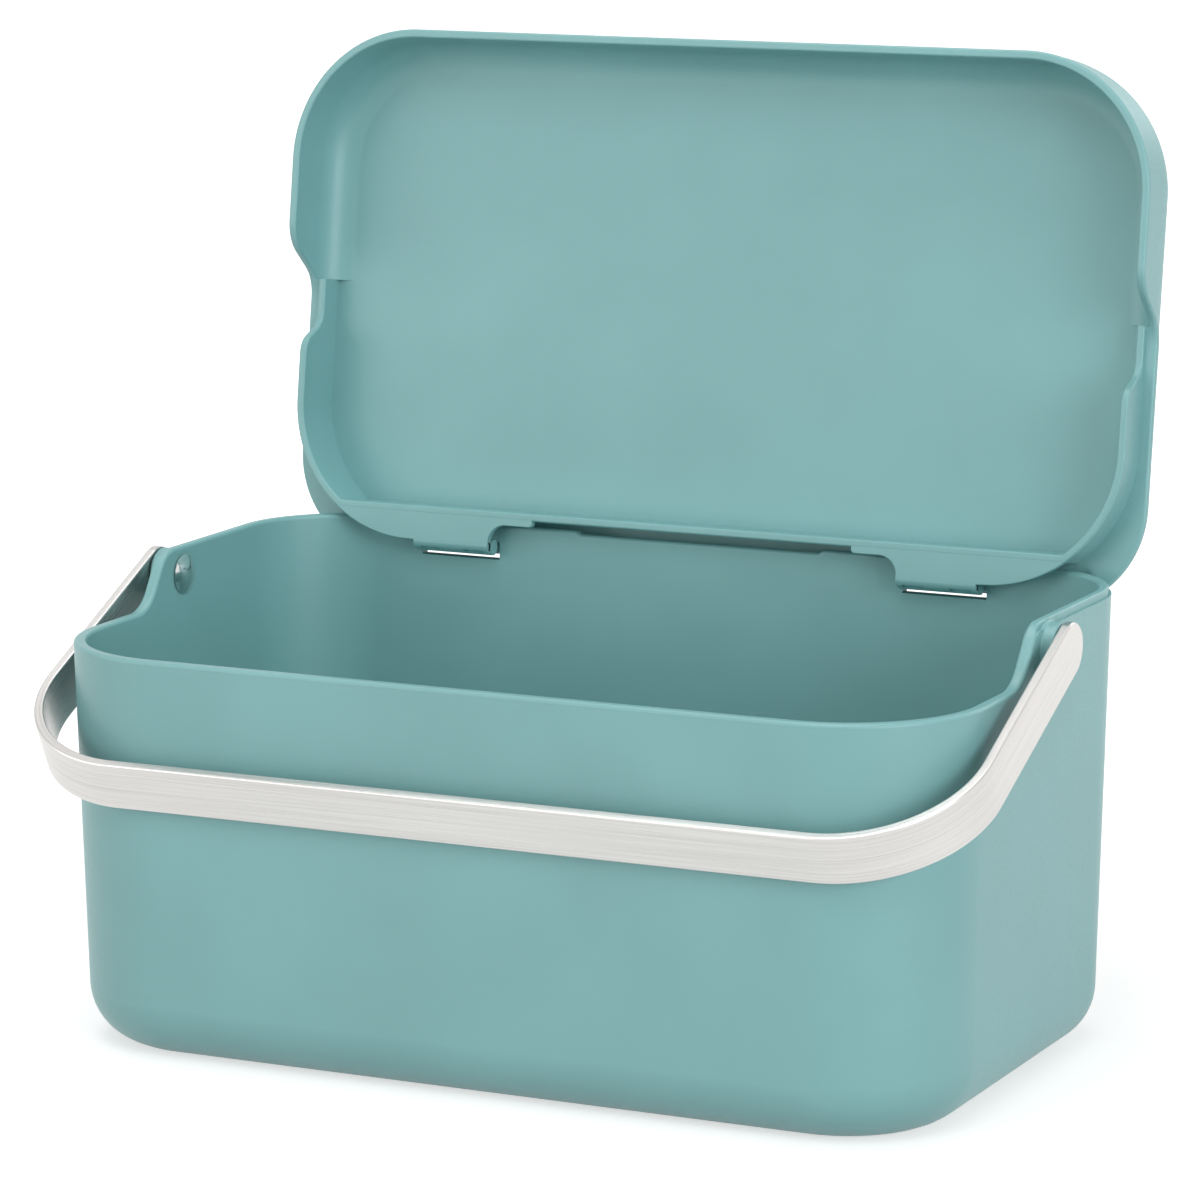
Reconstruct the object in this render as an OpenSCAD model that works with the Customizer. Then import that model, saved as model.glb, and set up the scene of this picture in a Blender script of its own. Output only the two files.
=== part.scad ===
// Compost caddy: a moulded bucket whose rim steps down to a low front, a deep lid that turns on two
// clip hinges inside the back wall, and a bent strip handle on two pivot studs.
// Millimetres. X runs to the right, Y to the back and Z up. The origin is the middle of the base, on
// the surface that the caddy stands on. The lid is drawn open on its stop and the handle lowered.

/* [Bucket] */
// Width over the high rim
body_w = 225; // [210:1:250]
// Depth over the high rim
body_d = 131; // [124:1:140]
// Height of the low rim at the front
rim_low = 95; // [85:0.5:96]
// Height of the high rim at the sides and back
rim_high = 108; // [107:0.5:120]
// Plan radius of the two front corners
front_r = 33; // [26:1:40]
// Plan radius of the two back corners
rear_r = 26; // [20:1:30]
// Thickness of the bucket's walls and floor
body_wall = 3; // [2.4:0.1:3.4]
// Draft of the walls, in degrees, wider at the rim
body_draft = 1.5; // [0.5:0.1:2.5]
// Radius of the outer edge round the base
base_r = 14; // [8:0.5:16]

/* [Rim step] */
// Where the low rim starts to rise, along Y
step_y = -17; // [-30:0.5:-10]
// Steepest angle of the step
step_angle = 55; // [40:1:70]
// Radius at the foot of the step
step_foot_r = 10; // [6:0.5:12]
// Radius at the top of the step
step_top_r = 8; // [5:0.5:10]
// Height of the shadow band outside the high rim
band_h = 1.8; // [1:0.1:3]
// Depth of the shadow band
band_t = 0.7; // [0.3:0.1:1]

/* [Lid] */
// Height of the closed lid's top
lid_top = 117; // [115:0.5:130]
// Radius of the lid's outer top edge
lid_edge_r = 9.5; // [5:0.5:10]
// Thickness of the lid's walls and top
lid_wall = 3; // [2.2:0.1:3.2]
// Draft of the lid's skirt, in degrees
lid_draft = 1.5; // [0.5:0.1:2.5]
// How far the lid's skirt stands in from the high rim's outline
lid_inset = 0.4; // [0.2:0.1:1]
// Gap left between the closed lid and the rim
lid_gap = 0.4; // [0.3:0.1:0.8]
// How far the lid opens from closed, in degrees
open_angle = 98.4; // [92:0.2:99]

/* [Lip inside the lid] */
// Gap between the lip and the bucket's wall beside it
lip_side_gap = 2.5; // [2.4:0.1:3]
// Thickness of the lip
lip_t = 2.1; // [1.6:0.1:2.6]
// Height of the lip's deep edge, lid closed
lip_low = 96.5; // [95.5:0.5:98]
// Height of the lip's shallow edge beside the pivots, lid closed
lip_high = 107; // [106:0.5:108]
// Where the lip begins at its square ends, along Y
lip_start_y = -4.5; // [-8:0.5:0]
// Where the lip reaches its deep edge, along Y
lip_flat_y = 11; // [11:0.5:16]
// Steepest angle of the lip's drop
lip_angle = 60; // [45:1:70]
// Radius of the two bends of the lip's drop
lip_bend_r = 5; // [3:0.5:5]
// Plan radius of the lip's back corners
lip_r = 33; // [26:1:36]
// Thickness of the flat web behind the lip
web_t = 2.4; // [1.8:0.1:3]
// Width of the flat web, front to back
web_w = 8; // [6:0.5:9]
// Half of the gap in the middle of the web
web_gap_half = 42; // [30:1:46]
// Width of the narrow ledge beside each hinge
ledge_w = 2.9; // [2.5:0.1:4]
// Radius between the ledge and the hinge lug
web_fillet = 4.5; // [2:0.5:5]

/* [Hinges] */
// Distance from the middle to each hinge
hinge_x = 64; // [60:1:68]
// Distance of the hinge axis below the high rim
hinge_drop = 5.2; // [5:0.1:5.6]
// Distance of the hinge axis in front of the bucket's back face at the rim
hinge_back = 5.3; // [5.2:0.1:5.6]
// Radius of the hinge barrel
barrel_r = 2.1; // [1.8:0.05:2.2]
// Radial clearance of the barrel in its clips
barrel_play = 0.05; // [0.03:0.01:0.1]
// Width of each hinge lug
lug_w = 20.4; // [18:0.2:20.6]
// Radius of the lug's outer corner
lug_corner_r = 2; // [1:0.5:2.5]
// Thickness of the leg between lug and barrel
leg_t = 2.2; // [1.8:0.1:2.4]
// Thickness of each clip's jaw
jaw_t = 1.25; // [1:0.05:1.3]
// How far the clip reaches over the barrel, in degrees from level at the back
clip_top = 134; // [110:1:136]
// How far the clip reaches under the barrel, in degrees from level at the back
clip_low = 50; // [30:1:52]
// Width of each clip
clip_w = 5; // [3:0.5:6]
// Distance between the two clips of one hinge
clip_pitch = 12; // [8:0.5:14]
// Width of the window behind each hinge
window_w = 21.4; // [20.8:0.2:24]
// Height of the window
window_h = 4.4; // [4.1:0.1:4.6]
// Gap between the lug and the back wall
lug_gap = 0.35; // [0.3:0.05:0.6]
// How far the lug reaches back past the web
lug_step = 2.7; // [2:0.1:3]
// Width of the shallow notch in the back rim
notch_w = 64; // [40:1:80]
// Depth of the notch
notch_h = 0.8; // [0.4:0.1:1.5]

/* [Handle] */
// Width of the strip
strip_w = 12.4; // [10:0.2:14]
// Thickness of the strip
strip_t = 2.3; // [1.5:0.1:3]
// Outer radius of the strip's two bends
bend_r = 32; // [20:1:40]
// Distance from the pivot to the outside of the grip
reach = 82.2; // [80:0.2:95]
// Gap between the wall at the rim and the inside of each arm
arm_gap = 3.3; // [2.5:0.1:5]
// Gap between the lowered grip and the bucket's front
rest_gap = 0.4; // [0.3:0.1:2]
// Where the pivots are, along Y
pivot_y = 4.9; // [2:0.1:8]
// Height of the pivots
pivot_z = 101.2; // [99:0.1:102]

/* [Pivots] */
// Radius of the pivot stud
stud_r = 2.5; // [2:0.1:3]
// Radial clearance of the stud in its boss
stud_play = 0.05; // [0.03:0.01:0.1]
// Radius of the boss round each stud
boss_r = 6; // [5:0.1:6.2]
// Gap between the boss and the arm
boss_gap = 0.3; // [0.2:0.05:0.5]
// Radius of the domed cap inside the bucket
cap_r = 4.9; // [4:0.1:5.2]
// Height of the domed cap
cap_h = 1.4; // [1:0.05:1.5]
// Gap between the cap and the wall
cap_gap = 0.25; // [0.2:0.05:0.3]
// How far the stud reaches into the cap
cap_grip = 0.8; // [0.5:0.1:0.9]
// Radial clearance of the stud in the cap
cap_play = 0.02; // [0.01:0.01:0.03]

/* [Hidden] */
$fn = 96;
over = 6;
draft_slope = tan(body_draft);
wall_across = body_wall / cos(body_draft);
lid_across = lid_wall / cos(lid_draft);

// The hinge axis, and how far round it the lid's back edge is cleared to pass over the rim
hinge_y = body_d / 2 - hinge_back;
hinge_z = rim_high - hinge_drop;
relief_r = norm([hinge_back, hinge_drop]) + lid_gap;
relief_half = body_w / 2 - rear_r / 2;
window_low = hinge_z - window_h * 0.78;

// The pivots, from the outside in
pivot_wall = body_w / 2 - draft_slope * (rim_high - pivot_z);
arm_in = pivot_wall + arm_gap;
arm_out = arm_in + strip_t;
boss_face = arm_in - boss_gap;
cap_face = pivot_wall - wall_across - cap_gap;
stud_end = cap_face - cap_grip;
cap_ball_r = (cap_r * cap_r + cap_h * cap_h) / (2 * cap_h);

// The lowered handle: the grip's lower inner edge comes to rest_gap from the sloping front wall
grip_edge = norm([reach - strip_t, strip_w / 2]);
grip_drop = atan2(strip_w / 2, reach - strip_t);
front_wall = cos(body_draft) * (pivot_y + body_d / 2 - draft_slope * (rim_high - pivot_z));
rest_angle = body_draft + acos((rest_gap + front_wall) / grip_edge) - grip_drop;

// The lip's plan, from the back wall's inside forward
lip_half = body_w / 2 - wall_across - lip_side_gap;
back_wall = body_d / 2 - draft_slope * (rim_high - lip_low) - wall_across;
lug_back = back_wall - lug_gap;
web_back = lug_back - lug_step;
chord_y = web_back - web_w;
lug_half = lug_w / 2;

body_colour = [0.53, 0.71, 0.70];
steel_colour = [0.80, 0.79, 0.78];
bright_colour = [0.86, 0.87, 0.88];

// A length to the nearest thousandth, so that neighbouring runs of different corners meet exactly.
function tidy(v) = round(v * 1000) / 1000;

// The filled section from a corner's centre out to a drafted skin, rounded at one end. The skin is
// at radius r - inset at height z_ref; the round end is at z_round and the plain end at z_open.
module skin_section(r, inset, draft, z_ref, z_round, round_r, z_open) {
    side = sign(z_round - z_ref);
    zc = z_round - side * round_r;
    rc = r - tidy(inset + tan(draft) * abs(zc - z_ref) + round_r / cos(draft));
    r_open = r - tidy(inset + tan(draft) * side * (z_open - z_ref));
    polygon([
        [0, z_open],
        [r_open, z_open],
        [rc + tidy(round_r * cos(draft)), zc + side * tidy(round_r * sin(draft))],
        [rc, zc],
        [rc, z_round],
        [0, z_round]
    ]);
    intersection() {
        translate([rc, zc]) circle(r = round_r);
        translate([0, zc - 2 * round_r]) square([r, 4 * round_r]);
    }
}

// A straight run of the same section, from the origin along Y with its outer side facing -X, and
// then turned about Z.
module skin_run(length, turn, r, inset, draft, z_ref, z_round, round_r, z_open) {
    rotate([0, 0, turn])
        rotate([90, 0, 180])
            linear_extrude(height = length)
                skin_section(r, inset, draft, z_ref, z_round, round_r, z_open);
}

// A quarter turn of the same section.
module skin_corner(turn, r, inset, draft, z_ref, z_round, round_r, z_open) {
    rotate([0, 0, turn])
        rotate_extrude(angle = 90)
            skin_section(r, inset, draft, z_ref, z_round, round_r, z_open);
}

// A drafted block with round corners on the bucket's outline: four walls, four corners, one core.
// Each wall starts at one corner's centre, and the back corners' centres stand where the walls end.
module skin_block(inset, draft, z_ref, z_round, round_r, z_open) {
    fx = body_w / 2 - front_r;
    fy = -body_d / 2 + front_r;
    rx = body_w / 2 - rear_r;
    side = body_d - front_r - rear_r;
    ry = fy + side;
    translate([-rx, fy, min(z_round, z_open)])
        cube([2 * rx, side, abs(z_round - z_open)]);
    for (s = [0, 1])
        mirror([s, 0, 0]) {
            translate([-rx, fy, 0]) skin_run(side, 0, rear_r, inset, draft, z_ref, z_round, round_r, z_open);
            translate([-rx, ry, 0]) skin_corner(90, rear_r, inset, draft, z_ref, z_round, round_r, z_open);
            translate([-fx, fy, 0]) skin_corner(180, front_r, inset, draft, z_ref, z_round, round_r, z_open);
        }
    translate([-rx, ry, 0])
        skin_run(2 * rx, -90, rear_r, inset, draft, z_ref, z_round, round_r, z_open);
    translate([fx, fy, 0])
        skin_run(2 * fx, 90, front_r, inset, draft, z_ref, z_round, round_r, z_open);
}

// The side view, in Y and Z, of all that lies under a step: low in front of y0, high behind it.
// A gap moves the whole step up by that much, square to itself.
module under_step(y0, low, high, foot_r, top_r, angle, gap) {
    bend = (foot_r + top_r) * (1 - cos(angle));
    run = (foot_r + top_r) * sin(angle) + (high - low - bend) / tan(angle);
    y1 = y0 + run;
    foot = [y0, low + foot_r];
    top = [y1, high - top_r];
    foot_g = foot_r - gap;
    top_g = top_r + gap;
    difference() {
        union() {
            polygon([
                [-body_d, -over],
                [body_d, -over],
                [body_d, high + gap],
                [y1, high + gap],
                top,
                top + top_g * [-sin(angle), cos(angle)],
                foot + foot_g * [sin(angle), -cos(angle)],
                [y0, low + gap],
                [-body_d, low + gap]
            ]);
            translate(top) circle(r = top_g);
        }
        translate(foot) circle(r = foot_g);
    }
}

// Turns a side view, drawn in Y and Z, into a block of the given width about x.
module across(width, x = 0) {
    translate([x, 0, 0])
        rotate([90, 0, 90])
            linear_extrude(height = width, center = true)
                children();
}

// A cylinder along X between two places.
module x_rod(r, x0, x1, y, z) {
    translate([min(x0, x1), y, z])
        rotate([0, 90, 0])
            cylinder(r = r, h = abs(x1 - x0));
}

// ---- Bucket ----

module above_rim() {
    across(body_w + 4 * over)
        difference() {
            translate([-body_d, over]) square([2 * body_d, rim_high + over]);
            under_step(step_y, rim_low, rim_high, step_foot_r, step_top_r, step_angle, 0);
        }
}

module bucket_outside(inset = 0) {
    skin_block(inset, body_draft, rim_high, 0, base_r, rim_high + over);
}

module bucket_inside() {
    skin_block(wall_across, body_draft, rim_high, body_wall, base_r - body_wall, rim_high + over);
}

// A shallow step round the outside of the high rim.
module shadow_band() {
    difference() {
        translate([-body_w, step_y, rim_high - band_h]) cube([2 * body_w, body_d, band_h + over]);
        bucket_outside(band_t);
    }
}

module windows() {
    for (s = [-1, 1])
        translate([s * hinge_x - window_w / 2, hinge_y, window_low])
            cube([window_w, hinge_back + over, window_h]);
}

module rear_notch() {
    translate([-notch_w / 2, hinge_y, rim_high - notch_h])
        cube([notch_w, hinge_back + over, notch_h + over]);
}

// The clip that the hinge barrel snaps into, in Y and Z about the hinge axis. Its mouth faces
// forward and down, and its root grows from the strip of wall above the window.
module clip_section() {
    bore = barrel_r + barrel_play;
    outer = bore + jaw_t;
    root_low = window_low + window_h - hinge_z;
    far = 4 * outer;
    difference() {
        union() {
            circle(r = outer);
            translate([0, root_low]) square([hinge_back - body_wall / 2, outer - root_low]);
        }
        circle(r = bore);
        polygon([
            [0, 0],
            far * [cos(clip_top), sin(clip_top)],
            far * [-1, 0],
            far * [-1, -1],
            far * [0, -1],
            far * [cos(clip_low), -sin(clip_low)]
        ]);
    }
}

module hinge_clips() {
    for (s = [-1, 1], c = [-1, 1])
        translate([0, hinge_y, hinge_z])
            across(clip_w, s * hinge_x + c * clip_pitch / 2)
                clip_section();
}

// The bucket, moulded in one piece with its two bosses and its four hinge clips.
module body() {
    color(body_colour) {
        difference() {
            union() {
                difference() {
                    bucket_outside();
                    above_rim();
                    shadow_band();
                }
                for (s = [-1, 1])
                    x_rod(boss_r, s * (pivot_wall - body_wall / 2), s * boss_face, pivot_y, pivot_z);
            }
            bucket_inside();
            windows();
            rear_notch();
            x_rod(stud_r + stud_play, -body_w, body_w, pivot_y, pivot_z);
        }
        hinge_clips();
    }
}

// ---- Lid, as it lies when closed ----

module below_skirt() {
    across(body_w + 4 * over)
        under_step(step_y, rim_low, rim_high, step_foot_r, step_top_r, step_angle, lid_gap);
}

// A drafted cap with a round top edge, scooped out, cut to the rim's step, and cleared at the back
// where it swings over the rim.
module lid_skin() {
    deep = rim_low - over;
    difference() {
        skin_block(lid_inset, lid_draft, rim_low, lid_top, lid_edge_r, deep);
        skin_block(lid_inset + lid_across, lid_draft, rim_low, lid_top - lid_wall, lid_edge_r - lid_wall,
            deep - over);
        below_skirt();
        x_rod(relief_r, -relief_half, relief_half, hinge_y, hinge_z);
    }
}

// The lip's plan: a wide shape with two round back corners, drawn in from its edge by inset.
module lip_plan(inset) {
    half = lip_half - inset;
    r = lip_r - inset;
    cy = web_back - lip_r;
    translate([-half, -body_d]) square([2 * half, body_d + cy]);
    translate([-half + r, cy]) square([2 * (half - r), r]);
    for (s = [-1, 1])
        translate([s * (half - r), cy]) circle(r = r);
}

// The upright lip: two sides with round back corners, and the straight wall that joins them.
module lip_wall() {
    top = lid_top - lid_wall / 2;
    difference() {
        translate([0, 0, lip_low])
            linear_extrude(height = top - lip_low)
                intersection() {
                    translate([-body_w, lip_start_y]) square([2 * body_w, chord_y + lip_t - lip_start_y]);
                    union() {
                        difference() {
                            lip_plan(0);
                            lip_plan(lip_t);
                        }
                        intersection() {
                            lip_plan(lip_t / 2);
                            translate([-body_w, chord_y]) square([2 * body_w, body_d]);
                        }
                    }
                }
        across(body_w)
            mirror([1, 0])
                under_step(-lip_flat_y, lip_low, lip_high, lip_bend_r, lip_bend_r, lip_angle, 0);
    }
}

// The flat web behind the lip on the right-hand side, with its ledge, and the lug of the hinge.
module web_plan() {
    x0 = hinge_x - lug_half;
    x1 = hinge_x + lug_half;
    ledge_y = chord_y + ledge_w;
    intersection() {
        lip_plan(0);
        translate([x0, chord_y + lip_t / 2]) square([body_w, body_d]);
    }
    translate([x0, chord_y + lip_t / 2]) square([lug_w, lug_back - lug_corner_r - chord_y - lip_t / 2]);
    translate([x0, web_back - lug_corner_r])
        square([lug_w - lug_corner_r, lug_back - web_back + lug_corner_r]);
    translate([x1 - lug_corner_r, lug_back - lug_corner_r]) circle(r = lug_corner_r);
    translate([web_gap_half, chord_y + lip_t / 2])
        square([x0 - web_gap_half + 1, ledge_w - lip_t / 2]);
    difference() {
        translate([x0 - web_fillet, ledge_y - 0.5]) square([web_fillet + 1, web_fillet + 0.5]);
        translate([x0 - web_fillet, ledge_y + web_fillet]) circle(r = web_fillet);
    }
}

// The lug's leg, standing up behind the web, with the hinge barrel along its top.
module hinge_leg() {
    x0 = hinge_x - lug_half;
    translate([x0, hinge_y - leg_t / 2, lip_low + web_t / 2])
        cube([lug_w, leg_t, hinge_z - lip_low - web_t / 2]);
    x_rod(barrel_r, x0, x0 + lug_w, hinge_y, hinge_z);
}

// The lid, moulded in one piece and turned back about the hinge axis onto its stop.
module lid() {
    color(body_colour)
        translate([0, hinge_y, hinge_z])
            rotate([-open_angle, 0, 0])
                translate([0, -hinge_y, -hinge_z]) {
                    lid_skin();
                    lip_wall();
                    for (s = [0, 1])
                        mirror([s, 0, 0]) {
                            translate([0, 0, lip_low])
                                linear_extrude(height = web_t)
                                    web_plan();
                            hinge_leg();
                        }
                }
}

// ---- Handle, lying level in its own frame with the pivots on the X axis ----

// The strip in plan: a U with two large bends, drawn in from its outside by inset.
module strip_plan(inset) {
    half = arm_out - inset;
    r = bend_r - inset;
    front = -(reach - inset);
    translate([-half, front + r]) square([2 * half, -front - r + strip_w]);
    translate([-half + r, front]) square([2 * (half - r), r + 1]);
    for (s = [-1, 1])
        translate([s * (half - r), front + r]) circle(r = r);
}

// The flat strip bent on its wide face, with round ends about the pivots.
module strip() {
    intersection() {
        linear_extrude(height = strip_w, center = true)
            difference() {
                strip_plan(0);
                strip_plan(strip_t);
            }
        across(2 * body_w) {
            circle(d = strip_w);
            translate([-2 * reach, -strip_w]) square([2 * reach, 2 * strip_w]);
        }
    }
}

module on_pivots() {
    translate([0, pivot_y, pivot_z])
        rotate([rest_angle, 0, 0])
            children();
}

module handle() {
    color(bright_colour) on_pivots() strip();
}

// ---- Pivot studs and their caps, one pair on each side ----

// The stud, fixed to the inside of the arm. It turns in the boss.
module pivot_stud(side) {
    color(steel_colour) x_rod(stud_r, side * stud_end, side * arm_in, pivot_y, pivot_z);
}

// The domed cap on the stud's end, inside the bucket, with the blind hole that holds the stud.
module stud_cap(side) {
    color(bright_colour)
        translate([side * cap_face, pivot_y, pivot_z])
            rotate([0, side > 0 ? -90 : 90, 0])
                difference() {
                    intersection() {
                        translate([0, 0, cap_h - cap_ball_r]) sphere(r = cap_ball_r);
                        cylinder(r = cap_r, h = cap_h);
                    }
                    translate([0, 0, -over]) cylinder(r = stud_r + cap_play, h = over + cap_grip);
                }
}

body();
lid();
handle();
pivot_stud(-1);  // left_pivot_stud
pivot_stud(1);  // right_pivot_stud
stud_cap(-1);  // left_stud_cap
stud_cap(1);  // right_stud_cap
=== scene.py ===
# %% [markdown]
# # A compost caddy with a hinged lid
#
# The real object is a moulded plastic bucket with a deep lid that clips into its back wall, and a
# flat steel handle that swings on two studs. This lesson dresses the measured CAD model: each
# moulding is rebuilt as a smooth skin with the soft edges that a mould leaves, and each surface gets
# a finish made from nodes. The CAD stays the frame, so every piece is placed by its numbers.

# %% Load the measured model
import bpy
import bmesh
from math import sin, cos, tan, radians, degrees, sqrt, pi, atan2, hypot
from mathutils import Vector, Matrix


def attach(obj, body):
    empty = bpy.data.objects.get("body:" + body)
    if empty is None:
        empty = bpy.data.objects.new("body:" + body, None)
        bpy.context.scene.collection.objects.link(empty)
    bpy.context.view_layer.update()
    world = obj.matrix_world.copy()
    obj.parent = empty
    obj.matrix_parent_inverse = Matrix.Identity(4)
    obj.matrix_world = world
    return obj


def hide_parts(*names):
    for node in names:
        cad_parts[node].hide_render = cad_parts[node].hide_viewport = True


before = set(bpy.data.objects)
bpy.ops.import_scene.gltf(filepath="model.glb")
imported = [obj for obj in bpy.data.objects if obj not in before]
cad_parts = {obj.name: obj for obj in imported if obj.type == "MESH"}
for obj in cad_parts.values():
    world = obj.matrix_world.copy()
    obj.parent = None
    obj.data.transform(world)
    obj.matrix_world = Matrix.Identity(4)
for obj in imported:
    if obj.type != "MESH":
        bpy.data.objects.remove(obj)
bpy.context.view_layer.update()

MM = 0.001

# %% [markdown]
# ## The camera
#
# A product photographer stands well back and uses a long lens, so the caddy's edges stay nearly
# parallel. The camera could be placed by eye, but here its place was solved from the corners of the
# caddy, so it is written as a matrix: where it stands, and which way is right, up and back.

# %% Camera at the photograph's viewing angle
turn, rise, roll = radians(25.62), radians(10.61), radians(-0.20)
look_at = Vector((3.85, 0.0, 104.46)) * MM
back = Vector((sin(turn) * cos(rise), -cos(turn) * cos(rise), sin(rise)))
right = Vector((cos(turn), sin(turn), 0.0))
up = back.cross(right)
rolled_right = right * cos(roll) + up * sin(roll)
rolled_up = up * cos(roll) - right * sin(roll)

lens = bpy.data.cameras.new("product_camera")
lens.sensor_width = 36.0
lens.lens = 158.55
lens.clip_start, lens.clip_end = 0.05, 20.0
camera = bpy.data.objects.new("product_camera", lens)
bpy.context.scene.collection.objects.link(camera)
stand = look_at + back * 1.2161
camera.matrix_world = Matrix((
    (rolled_right.x, rolled_up.x, back.x, stand.x),
    (rolled_right.y, rolled_up.y, back.y, stand.y),
    (rolled_right.z, rolled_up.z, back.z, stand.z),
    (0.0, 0.0, 0.0, 1.0)))
bpy.context.scene.camera = camera
print("camera stands at, mm:", [round(v / MM, 1) for v in stand])

# %% [markdown]
# ## Tools for making skins
#
# A moulding is one closed surface of even thickness. A solid with a bevel modifier would show
# pinched corners where the rim climbs, so each skin is woven instead: stations walk round the
# outline, and at each station a row of points follows the section from the middle of the outside,
# over the edge, to the middle of the inside. Quads join each station to the next.

# %% Walk round a rectangle with round corners
DRAFT_DEG = 1.5
DRAFT = radians(DRAFT_DEG)

# The angles, in degrees, at which a rounded edge gets its points
FINE = (0, 15, 30, 45, 60, 75, 90)
EVEN = (0, 18, 36, 54, 72, 90)
SPARSE = (0, 22, 45, 68, 90)


def walk(width, depth, front_r, rear_r, front_marks, side_marks, rear_marks, arc=3.0):
    """Stations anticlockwise from the middle of the front: (x, y, outward x, outward y)."""
    fx, rx = width / 2 - front_r, width / 2 - rear_r
    fy, ry = -depth / 2 + front_r, depth / 2 - rear_r
    out = [(x, -depth / 2, 0.0, -1.0) for x in front_marks if 0 <= x < fx]
    def bend(cx, cy, r, a0):
        n = int(90 / arc)
        for i in range(n + 1):
            a = radians(a0 + 90 * i / n)
            out.append((cx + r * cos(a), cy + r * sin(a), cos(a), sin(a)))
    bend(fx, fy, front_r, -90)
    out.extend((width / 2, y, 1.0, 0.0) for y in side_marks if fy + 0.2 < y < ry - 0.2)
    bend(rx, ry, rear_r, 0)
    out.extend((x, depth / 2, 0.0, 1.0) for x in sorted(rear_marks, reverse=True)
               if abs(x) < rx - 0.2)
    bend(-rx, ry, rear_r, 90)
    out.extend((-width / 2, y, -1.0, 0.0) for y in reversed(side_marks) if fy + 0.2 < y < ry - 0.2)
    bend(-fx, fy, front_r, 180)
    out.extend((-x, -depth / 2, 0.0, -1.0) for x in reversed(front_marks) if 0 < x < fx)
    return out


def weave(rows, downward=False):
    """Closed skin from one row of (x, y, z) per station, in mm. Both ends of the rows are capped."""
    n, m = len(rows), len(rows[0])
    verts = [tuple(c * MM for c in p) for row in rows for p in row]
    faces = []
    for k in range(n):
        a, b = k * m, ((k + 1) % n) * m
        for j in range(m - 1):
            quad = (a + j, b + j, b + j + 1, a + j + 1)
            faces.append(quad[::-1] if downward else quad)
    first = [k * m for k in range(n)]
    last = [k * m + m - 1 for k in range(n)]
    faces.append(tuple(first) if downward else tuple(reversed(first)))
    faces.append(tuple(reversed(last)) if downward else tuple(last))
    return verts, faces

# %% Turn lists of points into objects
def make_mesh(name, verts, faces):
    mesh = bpy.data.meshes.new(name)
    mesh.from_pydata(verts, [], faces)
    mesh.validate()
    mesh.update()
    obj = bpy.data.objects.new(name, mesh)
    bpy.context.scene.collection.objects.link(obj)
    return obj


def bake(obj):
    """Applies an object's modifiers into its mesh."""
    depsgraph = bpy.context.evaluated_depsgraph_get()
    mesh = bpy.data.meshes.new_from_object(obj.evaluated_get(depsgraph), depsgraph=depsgraph)
    old = obj.data
    obj.modifiers.clear()
    obj.data = mesh
    mesh.name = obj.name
    bpy.data.meshes.remove(old)
    return obj


def ribbon(loops):
    """Points and faces from closed loops in mm, joined in a row, with a cap at each end."""
    n, count = len(loops[0]), len(loops)
    verts = [tuple(c * MM for c in p) for loop in loops for p in loop]
    faces = [(k * n + j, k * n + (j + 1) % n, (k + 1) * n + (j + 1) % n, (k + 1) * n + j)
             for k in range(count - 1) for j in range(n)]
    return verts, faces + [tuple(reversed(range(n))), tuple((count - 1) * n + j for j in range(n))]


def face_outward(obj):
    work = bmesh.new()
    work.from_mesh(obj.data)
    bmesh.ops.recalc_face_normals(work, faces=work.faces)
    work.to_mesh(obj.data)
    work.free()


def join(name, pieces):
    """One object from several, each keeping its own closed surface."""
    verts, faces = [], []
    for p in pieces:
        base = len(verts)
        verts.extend(tuple(v.co) for v in p.data.vertices)
        faces.extend(tuple(base + i for i in f.vertices) for f in p.data.polygons)
    for p in pieces:
        mesh = p.data
        bpy.data.objects.remove(p)
        bpy.data.meshes.remove(mesh)
    return make_mesh(name, verts, faces)


def soften(obj, sharp=32):
    """Smooth shading that keeps real corners sharp and lets large faces decide the normals."""
    mesh = obj.data
    mesh.polygons.foreach_set("use_smooth", [True] * len(mesh.polygons))
    mesh.set_sharp_from_angle(angle=radians(sharp))
    weighted = obj.modifiers.new("even_normals", "WEIGHTED_NORMAL")
    weighted.keep_sharp = True
    weighted.weight = 80
    return bake(obj)

# %% Small solids: turned, extruded and plate-shaped
def turned_x(name, profile, y, z, sides=72):
    """A solid of revolution about a line along X: profile is (x, radius) pairs, in mm, end to end."""
    verts, faces = [], []
    n = len(profile)
    for i in range(sides):
        a = 2 * pi * i / sides
        for x, r in profile:
            verts.append((x * MM, (y + r * cos(a)) * MM, (z + r * sin(a)) * MM))
    for i in range(sides):
        a, b = i * n, ((i + 1) % sides) * n
        for j in range(n - 1):
            faces.append((a + j, b + j, b + j + 1, a + j + 1))
    obj = make_mesh(name, verts, faces)
    work = bmesh.new()
    work.from_mesh(obj.data)
    bmesh.ops.remove_doubles(work, verts=work.verts, dist=1e-7)
    bmesh.ops.holes_fill(work, edges=work.edges)
    bmesh.ops.recalc_face_normals(work, faces=work.faces)
    work.to_mesh(obj.data)
    work.free()
    return obj


def extruded(name, outline, lift, low, high, edge=0.25, steps=2):
    """A flat outline pushed from low to high, with its edges rounded.

    lift turns (u, v, w) into (x, y, z).
    """
    n = len(outline)
    verts = [tuple(c * MM for c in lift(u, v, w)) for w in (low, high) for u, v in outline]
    faces = [tuple(range(n)), tuple(range(2 * n - 1, n - 1, -1))]
    faces += [(i, (i + 1) % n, n + (i + 1) % n, n + i) for i in range(n)]
    obj = make_mesh(name, verts, faces)
    face_outward(obj)
    if edge:
        bevel = obj.modifiers.new("edge", "BEVEL")
        bevel.width = edge * MM
        bevel.segments = steps
        bevel.limit_method = "ANGLE"
        bevel.angle_limit = radians(40)
        bake(obj)
    return obj


def arc_points(cx, cy, r, a0, a1, n):
    turns = [radians(a0 + (a1 - a0) * i / n) for i in range(n + 1)]
    return [(cx + r * cos(a), cy + r * sin(a)) for a in turns]

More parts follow.
